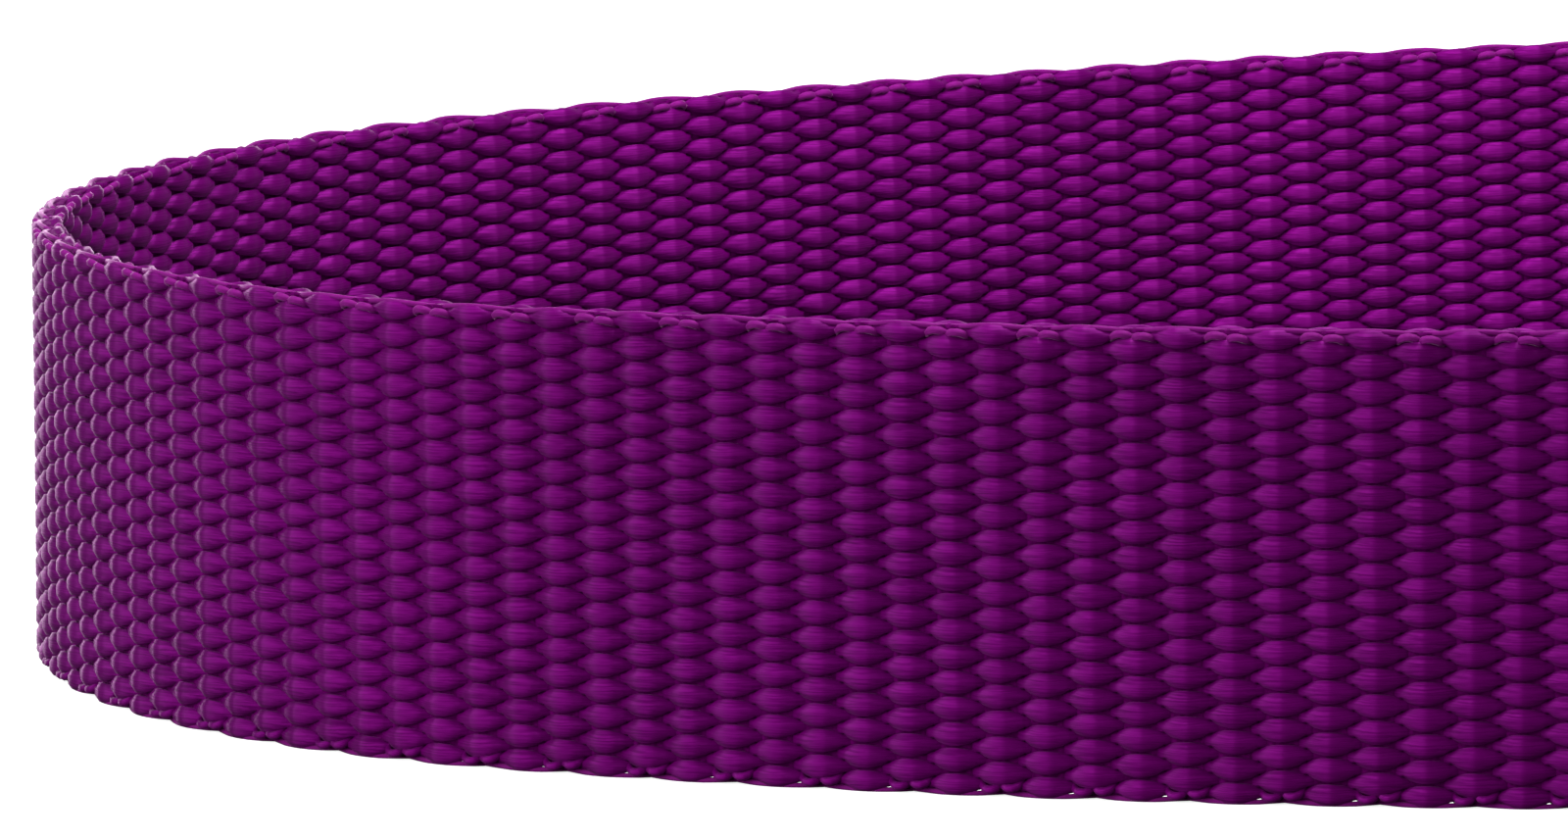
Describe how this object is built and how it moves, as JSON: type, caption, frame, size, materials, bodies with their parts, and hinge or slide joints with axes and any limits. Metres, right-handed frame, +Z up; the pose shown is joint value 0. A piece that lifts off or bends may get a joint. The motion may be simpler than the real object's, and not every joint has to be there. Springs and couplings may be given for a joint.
{
  "type": "flat web sling",
  "caption": "Endless single-ply web sling: a woven strap sewn into an oval loop, standing on its edge, with a lap splice and a blank label flap.",
  "frame": {"origin": "on the ground under the middle of the loop's overall footprint", "axes": "+Z up, along the webbing's width; +X along the loop, from the left bight to the right one; the lap is on the -Y leg"},
  "size_m": [0.2336, 0.1468, 0.025],
  "materials": {
    "webbing": "woven multifilament yarn, violet, soft satin",
    "label": "plain woven label, blue, blank",
    "thread": "twisted sewing thread, natural white"
  },
  "bodies": {
    "strap": {"web_near_leg": "webbing", "web_left_bight": "webbing", "web_right_bight": "webbing", "lap_inner_ply": "webbing", "lap_outer_ply": "webbing", "label_tuck": "label", "row_1_needle_thread": "thread", "row_1_bobbin_thread": "thread", "row_2_needle_thread": "thread", "row_2_bobbin_thread": "thread", "row_3_needle_thread": "thread", "row_3_bobbin_thread": "thread", "row_4_needle_thread": "thread", "row_4_bobbin_thread": "thread", "left_tack_needle_thread": "thread", "left_tack_bobbin_thread": "thread", "right_tack_needle_thread": "thread", "right_tack_bobbin_thread": "thread"},
    "far_leg": {"web_far_leg": "webbing"},
    "label": {"label_flap": "label"}
  },
  "joints": [
    {"name": "loop_spread", "type": "slide", "parent": "strap", "child": "far_leg", "axis": [0, 1, 0], "range_m": [-0.04, 0.02], "stiffness_N_per_m": 5, "deforming": ["web_left_bight", "web_right_bight"]},
    {"name": "label_swing", "type": "hinge", "parent": "strap", "child": "label", "pos_m": [0.07464, -0.05495, 0.0125], "axis": [0, 0, -1], "range_deg": [0, 90]}
  ]
}
